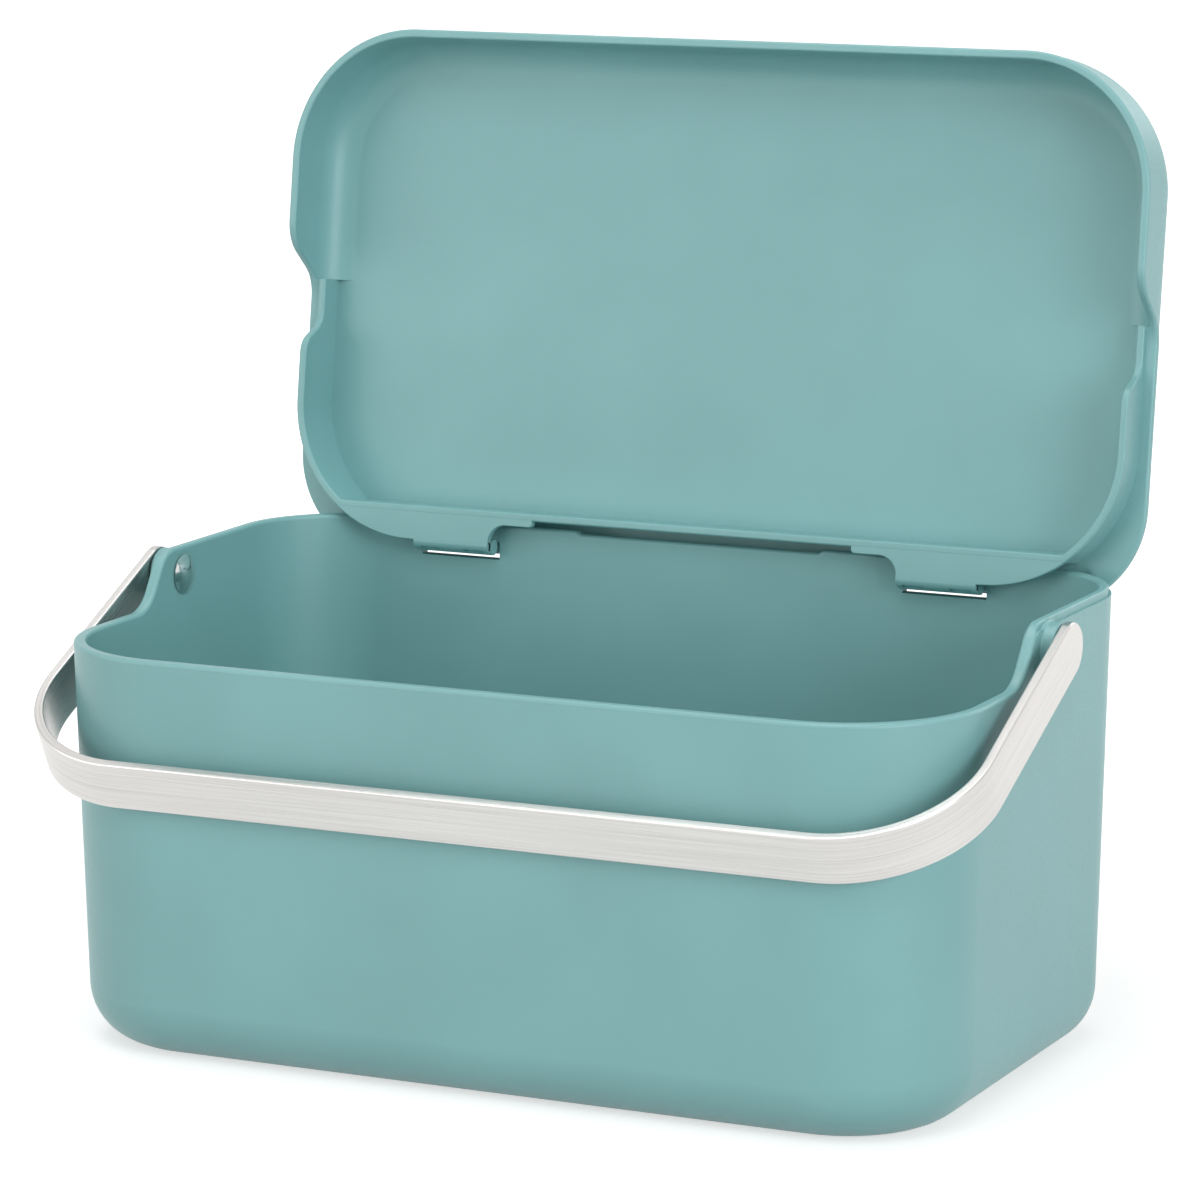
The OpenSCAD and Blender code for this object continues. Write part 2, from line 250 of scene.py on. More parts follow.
# %% [markdown]
# ## The line of the rim
#
# From the side the rim runs low along the front, climbs in a soft S in front of each pivot, and runs
# high round the back. It is two arcs joined by a straight slope. The lid's skirt follows the same
# line a hair above it, so one function serves both: a gap shifts the line square to itself.

# %% The S-shaped step as a height for each place along Y
RIM_LOW, RIM_HIGH = 95.0, 108.0
STEP_Y, STEP_ANGLE, FOOT_R, TOP_R = -17.0, 55.0, 10.0, 8.0


def step_line(y, y0=STEP_Y, low=RIM_LOW, high=RIM_HIGH, foot=FOOT_R, top=TOP_R,
              angle=STEP_ANGLE, gap=0.0):
    """Height of the line at y, and the tangent of its slope."""
    a = radians(angle)
    y1 = y0 + (foot + top) * sin(a) + (high - low - (foot + top) * (1 - cos(a))) / tan(a)
    f, t = foot - gap, top + gap
    if y <= y0:
        return low + gap, 0.0
    if y < y0 + f * sin(a):
        return low + foot - sqrt(f * f - (y - y0) ** 2), tan(asin_safe((y - y0) / f))
    if y < y1 - t * sin(a):
        z = low + foot - f * cos(a) + (y - y0 - f * sin(a)) * tan(a)
        return z, tan(a)
    if y < y1:
        return high - top + sqrt(t * t - (y1 - y) ** 2), tan(asin_safe((y1 - y) / t))
    return high + gap, 0.0


def asin_safe(v):
    return atan2(v, sqrt(max(1e-9, 1 - v * v)))


print("rim height in mm at y -20, -10, -5, 0, 5:",
      [round(step_line(y)[0], 2) for y in (-20, -10, -5, 0, 5)])

# %% [markdown]
# ## The bucket
#
# The bucket is wider at the rim than at the base, because a moulding needs draft to leave its mould.
# Its outer edge round the base is a large soft radius, and its rim is a small one. The section below
# walks up the outside, over the rim and down the inside. A shallow band under the high rim is set in
# by less than a millimetre: it reads as the fine shadow line between bucket and lid.

# %% Sizes of the bucket and its stations
WIDTH, DEPTH, FRONT_R, REAR_R = 225.0, 131.0, 33.0, 26.0
WALL, SLOPE, BASE_R = 3.0, tan(DRAFT), 14.0
BAND_H, BAND_T, RIM_EDGE = 1.8, 0.7, 0.9
NOTCH_HALF, NOTCH_H = 32.0, 0.8
PIVOT_Y, PIVOT_Z = 4.9, 101.2
HINGE_BACK, HINGE_DROP, HINGE_X = 5.3, 5.2, 64.0
HINGE_Y, HINGE_Z = DEPTH / 2 - HINGE_BACK, RIM_HIGH - HINGE_DROP
WINDOW_W, WINDOW_H = 21.4, 4.4
WINDOW_LOW = HINGE_Z - WINDOW_H * 0.78

front_marks = [0, 10, 20, 30, 40, 50, 60, 70]
side_marks = [-28, -24, -21, -19] + [STEP_Y - 1 + 0.5 * i for i in range(46)] + [8, 14, 20, 26, 32, 37]
rear_half = (8, 18, 28, 31.2, 31.5, 31.8, 32.1, 32.4, 32.8, 38, 46, 56, 70, 80)
rear_marks = [x * s for s in (-1, 1) for x in rear_half] + [0]
around = walk(WIDTH, DEPTH, FRONT_R, REAR_R, front_marks, side_marks, rear_marks)
print("stations round the bucket:", len(around))


def ease(v):
    v = min(1.0, max(0.0, v))
    return v * v * (3 - 2 * v)


def bucket_section(x, y):
    """(inset, height) pairs up the outside, over the rim and down the inside."""
    rim, slope = step_line(y)
    if y > DEPTH / 2 - 4:
        rim -= NOTCH_H * ease((NOTCH_HALF + 0.8 - abs(x)) / 1.6)
    lean = sqrt(1 + slope * slope)
    band = BAND_T * ease((rim - RIM_HIGH + BAND_H) / 1.0)
    ledge = min(RIM_HIGH - BAND_H, rim - RIM_EDGE * lean - 0.2)
    centre = SLOPE * (RIM_HIGH - BASE_R) + BASE_R / cos(DRAFT)
    rows = [(centre - BASE_R * cos(radians(a)), BASE_R - BASE_R * sin(radians(a)))
            for a in (90, 84, 77, 70, 63, 56, 49, 42, 35, 28, 21, 14, 7, DRAFT_DEG)]
    outer = lambda z: SLOPE * (RIM_HIGH - z)
    rows += [(outer(z), z) for z in (30, 50, 70, 84, 91)]
    rows += [(outer(ledge - 0.25), ledge - 0.25), (outer(ledge), ledge - 0.02)]
    rows += [(outer(ledge) + band, ledge + 0.02), (outer(ledge) + band, ledge + 0.3)]
    edge = RIM_EDGE if band < 0.1 else RIM_EDGE - 0.3 * band / BAND_T
    top_in = outer(rim) + band
    rows += [(top_in + edge * (1 - cos(radians(a))), rim - edge * lean * (1 - sin(radians(a))))
             for a in FINE]
    inner = lambda z: SLOPE * (RIM_HIGH - z) + WALL / cos(DRAFT)
    rows += [(inner(rim) - RIM_EDGE * (1 - sin(radians(a))),
              rim - RIM_EDGE * lean * (1 - cos(radians(a))))
             for a in FINE]
    rows += [(inner(z), z) for z in (min(rim - 2.5 * lean, 93), 89, 80, 60, 40, 25)]
    rows += [(centre - (BASE_R - WALL) * cos(radians(a)),
              BASE_R - (BASE_R - WALL) * sin(radians(a)))
             for a in (DRAFT_DEG, 8, 16, 24, 32, 40, 48, 56, 64, 72, 81, 90)]
    return rows

# %% Weave the bucket
rows = [[(x - nx * i, y - ny * i, z) for i, z in bucket_section(x, y)] for x, y, nx, ny in around]
bucket = make_mesh("bucket_moulding", *weave(rows))
print("bucket faces:", len(bucket.data.polygons))

# %% [markdown]
# ## Windows and bores in the bucket
#
# The hinge clips are undercuts: a straight-pull mould can only form them through an opening in the
# wall behind, so two narrow windows stay in the back wall. Each side also has a bore for its stud.
# Cutting with boolean tools keeps these openings clean without planning them into the weave.

# %% Cut the openings
def cut(target, tools):
    for tool in tools:
        knife = target.modifiers.new("cut", "BOOLEAN")
        knife.operation = "DIFFERENCE"
        knife.solver = "EXACT"
        knife.object = tool
    bake(target)
    for tool in tools:
        mesh = tool.data
        bpy.data.objects.remove(tool)
        bpy.data.meshes.remove(mesh)


def block(name, low, high):
    (x0, y0, z0), (x1, y1, z1) = low, high
    corners = ((x0, y0), (x1, y0), (x1, y1), (x0, y1))
    verts = [(x * MM, y * MM, z * MM) for z in (z0, z1) for x, y in corners]
    return make_mesh(name, verts, [(3, 2, 1, 0), (4, 5, 6, 7), (0, 1, 5, 4),
                                   (1, 2, 6, 5), (2, 3, 7, 6), (3, 0, 4, 7)])


STUD_R, STUD_PLAY = 2.5, 0.05
BORE_R = STUD_R + STUD_PLAY
tools = [block("window_tool", (s * HINGE_X - WINDOW_W / 2, HINGE_Y, WINDOW_LOW),
               (s * HINGE_X + WINDOW_W / 2, DEPTH / 2 + 5, WINDOW_LOW + WINDOW_H)) for s in (-1, 1)]
tools += [turned_x("bore_tool", [(s * 104, BORE_R), (s * 118, BORE_R)], PIVOT_Y, PIVOT_Z)
          for s in (-1, 1)]
cut(bucket, tools)
print("bucket faces after the cuts:", len(bucket.data.polygons))

# %% [markdown]
# ## Bosses and hinge clips
#
# A boss carries each stud clear of the wall, with a small fillet where it grows out of it. The clips
# are short C-shaped hooks: two at each hinge, hanging from the strip of wall above the window. Both
# are simple to describe by a section, so the bosses are turned and the clips are extruded.

# %% Turn the bosses
ARM_GAP, BOSS_GAP = 3.3, 0.3
PIVOT_WALL = WIDTH / 2 - SLOPE * (RIM_HIGH - PIVOT_Z)
ARM_IN = WIDTH / 2 + ARM_GAP - SLOPE * (RIM_HIGH - PIVOT_Z)
BOSS_R, BOSS_FACE = 6.0, ARM_IN - BOSS_GAP


def boss(s):
    """The boss, outside in: face, edge radius, barrel, and a fillet that sinks into the wall."""
    edge, fillet, root = 0.5, 0.7, PIVOT_WALL - 1.0
    line = [(root, BORE_R), (BOSS_FACE - 0.2, BORE_R), (BOSS_FACE, BORE_R + 0.2)]
    line += [(BOSS_FACE - edge * (1 - cos(radians(a))), BOSS_R - edge * (1 - sin(radians(a))))
             for a in (0, 30, 60, 90)]
    line += [(PIVOT_WALL + 0.55 - fillet * sin(radians(a)), BOSS_R + fillet * (1 - cos(radians(a))))
             for a in (0, 25, 50, 75)]
    line += [(root, BOSS_R + fillet), (root, BORE_R)]
    return turned_x("boss", [(s * x, r) for x, r in line], PIVOT_Y, PIVOT_Z, 96)


bosses = [boss(s) for s in (-1, 1)]
print("boss face at x, mm:", round(BOSS_FACE, 2))

# %% Extrude the clips
BARREL_R, BARREL_PLAY, JAW = 1.96, 0.05, 1.1
CLIP_APART, CLIP_HALF, CLIP_ROOM = 6.0, 2.5, 0.25
CLIP_BORE = BARREL_R + BARREL_PLAY
CLIP_OUT = CLIP_BORE + JAW


def clip(x):
    root = WINDOW_LOW + WINDOW_H - HINGE_Z
    line = arc_points(0, 0, CLIP_BORE, 134, -50, 30)
    line += arc_points(0, 0, CLIP_OUT, -50, atan2_deg(root, CLIP_OUT), 12)
    line += [(3.6, root), (3.6, CLIP_OUT)]
    line += arc_points(0, 0, CLIP_OUT, 90, 134, 10)
    return extruded("clip", line, lambda u, v, w: (x + w, HINGE_Y + u, HINGE_Z + v),
                    -CLIP_HALF, CLIP_HALF, 0.15)


def atan2_deg(height, radius):
    return degrees(atan2(height, sqrt(radius * radius - height * height)))


clips = [clip(s * HINGE_X + c * CLIP_APART) for s in (-1, 1) for c in (-1, 1)]
bucket = soften(join("bucket_moulding", [bucket] + bosses + clips))
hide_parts("body")
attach(bucket, "bucket")
print("bucket with bosses and clips:", len(bucket.data.polygons), "faces")

# %% [markdown]
# ## The lid
#
# The lid is a shallow tray turned upside down, with a generous radius all round its top. It is
# modelled closed, where its sizes are easiest to state, and its points are then turned about the
# hinge line onto its open stop. Its lower edge is cut clear of the circle in which it rolls over
# the back wall, and along the middle of the back the wall behind the lip is left out.

# %% Where the lip stands, seen from above
LID_TOP, LID_EDGE_R, LID_TOP_T, LID_INSET, LID_GAP = 117.0, 9.5, 3.0, 0.4, 0.4
OPEN_ANGLE, SKIRT_T, SKIRT_EDGE = 98.4, 2.0, 0.7
LIP_T, LIP_LOW, LIP_HIGH, LIP_R = 1.9, 99.0, 107.0, 33.0
LIP_START, LIP_FLAT, LIP_ANGLE, LIP_BEND = -3.0, 15.5, 60.0, 5.0
ACROSS = WALL / cos(DRAFT)
LIP_HALF = WIDTH / 2 - ACROSS - 0.6
LUG_BACK = DEPTH / 2 - SLOPE * (RIM_HIGH - LIP_LOW) - ACROSS - 0.5
WEB_BACK = LUG_BACK - 2.1
CHORD_Y = WEB_BACK - 8.5


def lip_reach(x, y, nx, ny):
    """How far inward from a station the middle of the lip stands."""
    half, r = LIP_HALF - LIP_T / 2, LIP_R - LIP_T / 2
    cx, cy = LIP_HALF - LIP_R, WEB_BACK - LIP_R

    def within(px, py):
        if abs(px) > half or py > CHORD_Y + LIP_T / 2:
            return False
        return abs(px) < cx or py < cy or hypot(abs(px) - cx, py - cy) < r

    near, far = 0.0, 24.0
    for _ in range(40):
        mid = (near + far) / 2
        if within(x - nx * mid, y - ny * mid):
            far = mid
        else:
            near = mid
    return far


print("the lip stands inside the outline by, mm:", [round(lip_reach(*p), 2) for p in
      ((WIDTH / 2, 0, 1, 0), (WIDTH / 2, 35, 1, 0), (60, DEPTH / 2, 0, 1))])

# %% Section of the lid's skin
RELIEF_R = hypot(HINGE_BACK, HINGE_DROP) + LID_GAP
RELIEF_HALF = WIDTH / 2 - REAR_R / 2
BACK_OPEN, BACK_HALF = LID_TOP - LID_TOP_T, 84.0


def open_up(x, y, z):
    """A point of the closed lid, turned back about the hinge line."""
    a = radians(-OPEN_ANGLE)
    dy, dz = y - HINGE_Y, z - HINGE_Z
    return (x, HINGE_Y + dy * cos(a) - dz * sin(a), HINGE_Z + dy * sin(a) + dz * cos(a))


def skirt_low(x, y):
    """Height of the lid's lower face, and how steep it is along the outline."""
    z, slope = step_line(y, gap=LID_GAP)
    if abs(y - HINGE_Y) < RELIEF_R:
        clear = HINGE_Z + sqrt(RELIEF_R ** 2 - (y - HINGE_Y) ** 2)
        z += (max(z, clear) - z) * ease((RELIEF_HALF - abs(x)) / 1.5)
    return z, slope


def lid_section(x, y, nx, ny):
    """(inset, height) from the middle of the top, down the outside and up the inside."""
    draft = lambda z: LID_INSET + SLOPE * (z - RIM_LOW)
    centre_z = LID_TOP - LID_EDGE_R
    centre = draft(centre_z) + LID_EDGE_R / cos(DRAFT)
    open_back = y > DEPTH / 2 - 1 and abs(x) < BACK_HALF
    last = degrees(asin_safe((BACK_OPEN - centre_z) / LID_EDGE_R)) if open_back else 13.0
    rows = [(centre - LID_EDGE_R * cos(radians(90 - (90 - last) * i / 11)),
             centre_z + LID_EDGE_R * sin(radians(90 - (90 - last) * i / 11))) for i in range(12)]
    reach = lip_reach(x, y, nx, ny)
    if open_back:
        start = rows[-1][0]
        return rows + [(start + (reach - start) * (i + 1) / 28, BACK_OPEN) for i in range(28)]
    zo, slope = skirt_low(x - nx * draft(108), y - ny * draft(108))
    lean = sqrt(1 + slope * slope)
    inset = draft(zo)
    rows += [(draft(zo + (centre_z - zo) * f), zo + (centre_z - zo) * f) for f in (0.93, 0.6, 0.35)] \
        if zo < 105 else [(draft(zo + 1.4 * f), zo + 1.4 * f) for f in (1.1, 0.9, 0.7)]
    rows += [(inset + SKIRT_EDGE * (1 - cos(radians(a))), zo + SKIRT_EDGE * lean * (1 - sin(radians(a))))
             for a in EVEN]
    if y > LIP_START:
        for i in range(6):
            at = inset + SKIRT_EDGE + (reach - inset - SKIRT_EDGE) * (i + 1) / 6
            rows.append((at, skirt_low(x - nx * at, y - ny * at)[0]))
        low = rows[-1][1]
        return rows + [(reach, low + (BACK_OPEN - low) * (i + 1) / 13) for i in range(13)]
    across = SKIRT_T / cos(DRAFT)
    zi, _ = skirt_low(x - nx * (draft(108) + across), y - ny * (draft(108) + across))
    soft = SKIRT_EDGE - 0.2
    rows += [(inset + across - soft * (1 - sin(radians(a))), zi + soft * lean * (1 - cos(radians(a))))
             for a in EVEN]
    inner_r = LID_EDGE_R - SKIRT_T
    inner_z = BACK_OPEN - inner_r
    inner = draft(inner_z) + across + inner_r / cos(DRAFT)
    start = max(DRAFT_DEG, degrees(asin_safe(min(0.9, (zi + soft * lean + 0.3 - inner_z) / inner_r))))
    first = inner_z + inner_r * sin(radians(start))
    low = zi + soft * lean
    rows.append((draft(low) + across, low + (first - low) * 0.4))
    return rows + [(inner - inner_r * cos(radians(start + (90 - start) * i / 11)),
                    inner_z + inner_r * sin(radians(start + (90 - start) * i / 11))) for i in range(12)]

# %% Weave the lid's skin
# Where the section changes at once, two stations stand this far to either side of the place
SPLIT = 0.04
lid_side = [y for y in side_marks if y != LIP_START] + [LIP_START - SPLIT, LIP_START + SPLIT]
lid_side = sorted(lid_side)
lid_rear_half = (12, 25, 40, 55, 70, 82, BACK_HALF - SPLIT, BACK_HALF + SPLIT)
lid_rear = [x * s for s in (-1, 1) for x in lid_rear_half] + [0]
lid_around = walk(WIDTH, DEPTH, FRONT_R, REAR_R, front_marks, lid_side, lid_rear, arc=2.5)
rows = [[open_up(x - nx * i, y - ny * i, z) for i, z in lid_section(x, y, nx, ny)]
        for x, y, nx, ny in lid_around]
print("rows per station:", sorted(set(len(r) for r in rows)))
lid_skin = make_mesh("lid_skin", *weave(rows, downward=True))

# %% [markdown]
# ## The lip inside the lid
#
# A thin wall stands inside the lid's back half and drops into the bucket when it shuts, which keeps
# the lid square. It ends square in front of the pivots, where its edge is cut high to clear the
# studs. It is a ribbon with a round edge, so it is woven along its own path.

# %% The lip as a ribbon
# The place along Y that stands for the straight run across the back, where the edge is low
BACK_ROW = 60.0


def lip_low(y):
    """Height of the lip's lower edge, and how steep it is."""
    return step_line(-y, -LIP_FLAT, LIP_LOW, LIP_HIGH, LIP_BEND, LIP_BEND, LIP_ANGLE)


def lip_path():
    """Pairs of points (outer, inner) from the right-hand end round the back to the left."""
    cx, cy = LIP_HALF - LIP_R, WEB_BACK - LIP_R
    marks = [LIP_START, LIP_START + 0.35, 0, 3] + [4.6 + 0.4 * i for i in range(29)] + [18, 22, cy]
    half = [((LIP_HALF, y), (LIP_HALF - LIP_T, y), y) for y in marks]
    a_out = degrees(asin_safe((CHORD_Y + LIP_T - cy) / LIP_R))
    a_in = degrees(asin_safe((CHORD_Y - cy) / (LIP_R - LIP_T)))
    outer = arc_points(cx, cy, LIP_R, 0, a_out, 20)
    inner = arc_points(cx, cy, LIP_R - LIP_T, 0, a_in, 20)
    half += [(o, i, o[1]) for o, i in zip(outer[1:], inner[1:])]
    x_out, x_in = half[-1][0][0], half[-1][1][0]
    middle = [((x_out * f, CHORD_Y + LIP_T), (x_in * f, CHORD_Y), BACK_ROW)
              for f in (0.97, 0.6, 0.2, 0, -0.2, -0.6, -0.97)]
    other = [((-o[0], o[1]), (-i[0], i[1]), y) for o, i, y in reversed(half)]
    return half + middle + other


def lip_loop(o, i, y, edge=0.5):
    """A closed loop of points across the lip at one station."""
    z, slope = lip_low(y)
    lean = sqrt(1 + slope * slope)
    wide = hypot(i[0] - o[0], i[1] - o[1])
    ux, uy = (i[0] - o[0]) / wide, (i[1] - o[1]) / wide
    foot = z + 3.0 if z < 105 else z + 1.2
    top = LID_TOP - 2.5
    outer_top = top if y == BACK_ROW else LID_TOP - 5.0
    section = [(0, outer_top), (0, foot)]
    section += [(edge * (1 - cos(radians(a))), z + edge * lean * (1 - sin(radians(a))))
                for a in SPARSE]
    section += [(wide - edge * (1 - sin(radians(a))), z + edge * lean * (1 - cos(radians(a))))
                for a in SPARSE]
    section += [(wide, foot), (wide, top)]
    return [open_up(o[0] + ux * s, o[1] + uy * s, h) for s, h in section]


loops = [lip_loop(*p) for p in lip_path()]
lip = make_mesh("lid_lip", *ribbon(loops))
print("lip stations:", len(loops))

# %% [markdown]
# ## The web, lugs and barrels
#
# Behind the lip a flat web joins it to two lugs. Each lug has a round nose along its back edge and
# a leg with a round barrel along its top, and the barrels snap into the bucket's clips. Room for
# the clips is cut out of the web and the noses. All are flat outlines given a thickness.

# %% The web, cut as one flat outline on each side
WEB_T, LUG_W, GAP_HALF, LEDGE_W, WEB_FILLET = 2.0, 20.4, 42.0, 3.4, 4.5
LUG_X0, LUG_X1 = HINGE_X - LUG_W / 2, HINGE_X + LUG_W / 2


def web(s):
    ledge = CHORD_Y + LEDGE_W
    cx, cy = LIP_HALF - LIP_R, WEB_BACK - LIP_R
    front = CHORD_Y + LIP_T / 2
    line = [(GAP_HALF, front)]
    line += [(GAP_HALF, ledge - 0.8), (GAP_HALF + 0.25, ledge - 0.25), (GAP_HALF + 0.8, ledge)]
    line += arc_points(LUG_X0 - WEB_FILLET, ledge + WEB_FILLET, WEB_FILLET, -90, 0, 10)
    line += [(LUG_X0, WEB_BACK), (LUG_X1, WEB_BACK)]
    end = degrees(asin_safe((front - cy) / (LIP_R - 0.05)))
    line += [p for p in arc_points(cx, cy, LIP_R - 0.05, 90, end, 18) if p[0] > LUG_X1 + 0.5]
    return extruded("web", line, lambda u, v, w: open_up(s * u, v, w),
                    LIP_LOW + 0.03, LIP_LOW + WEB_T, 0.3, 3)


webs = [web(s) for s in (-1, 1)]
print("web reaches back to y, mm:", round(WEB_BACK, 2), "and the lugs to", round(LUG_BACK, 2))

# %% The lugs' round noses, hollowed in front of the clips
def nose(s):
    line = [(WEB_BACK - 2.0, LIP_LOW + 0.05)]
    line += arc_points(LUG_BACK - WEB_T, LIP_LOW + 0.05 + WEB_T, WEB_T, -90, 0, 10)
    line += [(WEB_BACK - 2.0, LIP_LOW + 0.05 + WEB_T)]
    return extruded("lug_nose", line, lambda u, v, w: open_up(s * w, u, v), LUG_X0, LUG_X1, 0.2)


def clip_room(s, c):
    """A cylinder round the hinge line that leaves a clip room to stand in."""
    y, z = open_up(0, HINGE_Y, HINGE_Z)[1:]
    x = s * HINGE_X + c * CLIP_APART
    half, radius = CLIP_HALF + CLIP_ROOM, CLIP_OUT + CLIP_ROOM
    return turned_x("clip_room", [(x - half, radius), (x + half, radius)], y, z, 48)


noses = [nose(s) for s in (-1, 1)]
for s, piece, plate in zip((-1, 1), noses, webs):
    cut(piece, [clip_room(s, -1), clip_room(s, 1)])
    cut(plate, [clip_room(s, -1), clip_room(s, 1)])

# %% The legs and barrels
LEG_T = 1.8


def leg(s):
    a = degrees(asin_safe(LEG_T / 2 / BARREL_R))
    line = arc_points(0, 0, BARREL_R, -90 + a, 270 - a, 36)
    low = LIP_LOW + WEB_T / 2 - HINGE_Z
    line += [(-LEG_T / 2, low), (LEG_T / 2, low)]
    return extruded("leg", line, lambda u, v, w: open_up(s * HINGE_X + w, HINGE_Y + u, HINGE_Z + v),
                    -LUG_W / 2, LUG_W / 2, 0)


legs = [leg(s) for s in (-1, 1)]
lid = soften(join("lid_moulding", [lid_skin, lip] + webs + noses + legs))
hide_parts("lid")
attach(lid, "lid")
print("lid faces:", len(lid.data.polygons))

# %% [markdown]
# ## The handle
#
# The handle is flat stainless strip, bent on its wide face into a U, with its edges eased and its
# ends rounded about the pivots. The strip is woven along its length so that it can carry a length
# coordinate: the brushing of real strip runs along it, and the finish needs to know which way that is.

# %% Path of the strip, lying level
STRIP_W, STRIP_T, BEND_R, REACH, REST_GAP = 12.4, 2.3, 32.0, 82.2, 0.4
ARM_OUT = ARM_IN + STRIP_T
grip_edge = hypot(REACH - STRIP_T, STRIP_W / 2)
front_wall = cos(DRAFT) * (PIVOT_Y + DEPTH / 2 - SLOPE * (RIM_HIGH - PIVOT_Z))
REST_ANGLE = DRAFT_DEG + degrees(pi / 2 - asin_safe((REST_GAP + front_wall) / grip_edge)) \
    - degrees(atan2(STRIP_W / 2, REACH - STRIP_T))
print("the handle hangs", round(REST_ANGLE, 2), "degrees below level")


def strip_stations():
    """(x, y, outward x, outward y, half width) from the right end round the front to the left end."""
    h = STRIP_W / 2
    out = []
    for a in range(86, -1, -6):
        out.append((ARM_OUT, h * sin(radians(a)), 1.0, 0.0, h * cos(radians(a))))
    out += [(ARM_OUT, y, 1.0, 0.0, h) for y in (-8, -20, -35, -46)]
    cx, cy = ARM_OUT - BEND_R, -REACH + BEND_R
    for i in range(37):
        a = radians(-90 * i / 36)
        out.append((cx + BEND_R * cos(a), cy + BEND_R * sin(a), cos(a), sin(a), h))
    out += [(x, -REACH, 0.0, -1.0, h) for x in (70, 50, 30, 10)]
    return out + [(-x, y, -nx, ny, w) for x, y, nx, ny, w in reversed(out)]


def strip_loop(half, edge=0.45):
    """Across the strip: (depth from the outer face, height). The long edges are eased."""
    e = min(edge, half * 0.6)
    pts = []
    for cu, cv, a0 in ((e, half - e, 180), (STRIP_T - e, half - e, 90),
                       (STRIP_T - e, -half + e, 0), (e, -half + e, 270)):
        pts += [(cu + e * cos(radians(a0 - a)), cv + e * sin(radians(a0 - a))) for a in EVEN]
    return pts

# %% Weave the strip, with its length coordinate, and lay it on the pivots
def lay_down(x, y, z):
    a = radians(REST_ANGLE)
    return (x, PIVOT_Y + y * cos(a) - z * sin(a), PIVOT_Z + y * sin(a) + z * cos(a))


loops, coords, run, last = [], [], 0.0, None
stations = strip_stations()
for x, y, nx, ny, half in stations:
    if last:
        run += hypot(x - last[0], y - last[1])
    last = (x, y)
    loop = strip_loop(half)
    loops.append([lay_down(x - nx * depth, y - ny * depth, high) for depth, high in loop])
    around_strip = 0.0
    for j, (depth, high) in enumerate(loop):
        if j:
            around_strip += hypot(depth - loop[j - 1][0], high - loop[j - 1][1])
        coords.append((run * MM, around_strip * MM))
strip = make_mesh("handle_strip", *ribbon(loops))
layer = strip.data.uv_layers.new(name="along_strip")
for loop_ref in strip.data.loops:
    layer.data[loop_ref.index].uv = coords[loop_ref.vertex_index]
face_outward(strip)
strip = soften(strip, 40)
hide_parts("handle")
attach(strip, "handle")
print("length of strip, mm:", round(run, 1))

# %% [markdown]
# ## The domed caps
#
# Each stud ends inside the bucket in a small polished dome. A dome could be half a ball, but a
# pressed cap is only a shallow slice of one, so its outline is worked out from its width and height.

# %% Turn the caps
CAP_R, CAP_H, CAP_GAP, CAP_DEEP = 4.9, 1.4, 0.25, 0.8
CAP_FACE = PIVOT_WALL - ACROSS - CAP_GAP
CAP_BALL = (CAP_R ** 2 + CAP_H ** 2) / (2 * CAP_H)
reach_a = degrees(asin_safe((CAP_R - 0.12) / CAP_BALL))
dome = [(CAP_FACE - CAP_H + CAP_BALL * (1 - cos(radians(reach_a * i / 24))),
         CAP_BALL * sin(radians(reach_a * i / 24))) for i in range(25)]
line = dome + [(CAP_FACE - 0.05, CAP_R), (CAP_FACE, CAP_R - 0.06), (CAP_FACE, STUD_R + 0.02),
               (CAP_FACE - CAP_DEEP, STUD_R + 0.02), (CAP_FACE - CAP_DEEP, 0.0)]
for s, side in ((-1, "left"), (1, "right")):
    cap = turned_x("%s_cap" % side, [(s * x, r) for x, r in line], PIVOT_Y, PIVOT_Z, 96)
    cap = soften(cap, 40)
    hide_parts("%s_stud_cap" % side)
    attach(cap, "handle")
print("cap apex at x, mm:", round(CAP_FACE - CAP_H, 2))

# %% [markdown]
# ## Finishes
#
# The plastic is satin: a mould with a fine eroded grain spreads the highlights, and the colour is
# a muted sage teal that is the same all through. The steel is brushed along the strip and catches
# light in long soft bars. The caps are polished. Each finish is built from noise at the real size of
# what it stands for, because an even colour looks like a drawing.

# %% Node helpers
def new_material(name):
    mat = bpy.data.materials.new(name)
    mat.use_nodes = True
    nodes, links = mat.node_tree.nodes, mat.node_tree.links
    return mat, nodes, links, nodes["Principled BSDF"]


def coat(obj, material):
    obj.data.materials.clear()
    obj.data.materials.append(material)


def noise(nodes, links, vector, scale, detail=3.0, rough=0.5):
    n = nodes.new("ShaderNodeTexNoise")
    n.inputs["Scale"].default_value = scale
    n.inputs["Detail"].default_value = detail
    n.inputs["Roughness"].default_value = rough
    links.new(vector, n.inputs["Vector"])
    return n.outputs["Fac"]


def remap(nodes, links, value, low, high, in_low=0.3, in_high=0.7):
    n = nodes.new("ShaderNodeMapRange")
    n.inputs["From Min"].default_value, n.inputs["From Max"].default_value = in_low, in_high
    n.inputs["To Min"].default_value, n.inputs["To Max"].default_value = low, high
    links.new(value, n.inputs["Value"])
    return n.outputs["Result"]


def tint(nodes, links, factor, first, second):
    n = nodes.new("ShaderNodeMix")
    n.data_type = "RGBA"
    n.inputs["A"].default_value = (*first, 1.0)
    n.inputs["B"].default_value = (*second, 1.0)
    links.new(factor, n.inputs["Factor"])
    return n.outputs["Result"]


def bump(nodes, links, height, distance, strength, normal=None):
    n = nodes.new("ShaderNodeBump")
    n.inputs["Distance"].default_value = distance
    n.inputs["Strength"].default_value = strength
    links.new(height, n.inputs["Height"])
    if normal:
        links.new(normal, n.inputs["Normal"])
    return n.outputs["Normal"]

